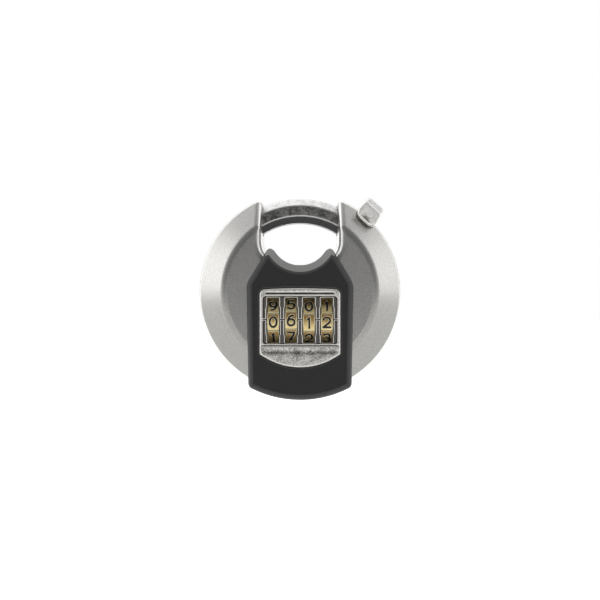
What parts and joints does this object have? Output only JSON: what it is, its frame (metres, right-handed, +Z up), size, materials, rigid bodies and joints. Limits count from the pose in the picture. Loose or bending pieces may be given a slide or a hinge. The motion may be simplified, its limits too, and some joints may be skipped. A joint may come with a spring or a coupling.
{
  "type": "combination disc padlock",
  "caption": "Round steel padlock with a shrouded arc shackle, rim knob, number dials behind a windowed plate and a moulded front cover.",
  "frame": {"origin": "under the crown of the shackle, where a staple bears and the padlock hangs", "axes": "+Z up, +X to the right of a person facing the dials, front towards -Y; the disc's axis is along Y, 24.1 mm below the origin"},
  "size_m": [0.07, 0.0269, 0.0697],
  "materials": {
    "stainless_shell": "fine bead-blasted satin",
    "zinc_core": "as cast",
    "shackle_steel": "plated, worn, with a cast-dark front flat",
    "knob_nickel": "satin nickel, slightly mottled",
    "black_cover": "fine moulded matt",
    "antique_plate": "cast, antique silver with worn edges",
    "brass_dial": "satin with black-filled numbers",
    "brass_sleeve": "turned",
    "plain_steel": "zinc plated",
    "spring_steel": "blued"
  },
  "bodies": {
    "lock_body": {"front_shell": "stainless_shell", "rear_shell": "stainless_shell", "core_front": "zinc_core", "core_rear": "zinc_core", "core_screws": "plain_steel", "front_cover": "black_cover", "dial_bezel": "antique_plate", "bezel_nuts": "spring_steel", "dial_spindle": "plain_steel", "spindle_clips": "spring_steel", "detent_spring": "spring_steel", "leaf_rivets": "brass_sleeve", "bar_springs": "spring_steel"},
    "shackle_arm": {"shackle": "shackle_steel", "shackle_knob": "knob_nickel", "knob_screw": "plain_steel"},
    "lock_bar": {"locking_bar": "plain_steel"},
    "dial_set_1": {"dial_1": "brass_dial", "code_sleeve_1": "brass_sleeve"},
    "dial_set_2": {"dial_2": "brass_dial", "code_sleeve_2": "brass_sleeve"},
    "dial_set_3": {"dial_3": "brass_dial", "code_sleeve_3": "brass_sleeve"},
    "dial_set_4": {"dial_4": "brass_dial", "code_sleeve_4": "brass_sleeve"}
  },
  "joints": [
    {"name": "shackle_turn", "type": "hinge", "parent": "lock_body", "child": "shackle_arm", "pos_m": [0, 0, -0.0241], "axis": [0, 1, 0], "range_deg": [0, 78]},
    {"name": "lock_bar_slide", "type": "slide", "parent": "lock_body", "child": "lock_bar", "axis": [0, 0, -1], "range_m": [-0.0016, 0.0002], "stiffness_N_per_m": 400, "deforming": ["bar_springs"]},
    {"name": "dial_1_turn", "type": "hinge", "parent": "lock_body", "child": "dial_set_1", "pos_m": [-0.00915, -0.005, -0.0341], "axis": [1, 0, 0], "continuous": true},
    {"name": "dial_2_turn", "type": "hinge", "parent": "lock_body", "child": "dial_set_2", "pos_m": [-0.00305, -0.005, -0.0341], "axis": [1, 0, 0], "continuous": true},
    {"name": "dial_3_turn", "type": "hinge", "parent": "lock_body", "child": "dial_set_3", "pos_m": [0.00305, -0.005, -0.0341], "axis": [1, 0, 0], "continuous": true},
    {"name": "dial_4_turn", "type": "hinge", "parent": "lock_body", "child": "dial_set_4", "pos_m": [0.00915, -0.005, -0.0341], "axis": [1, 0, 0], "continuous": true}
  ]
}
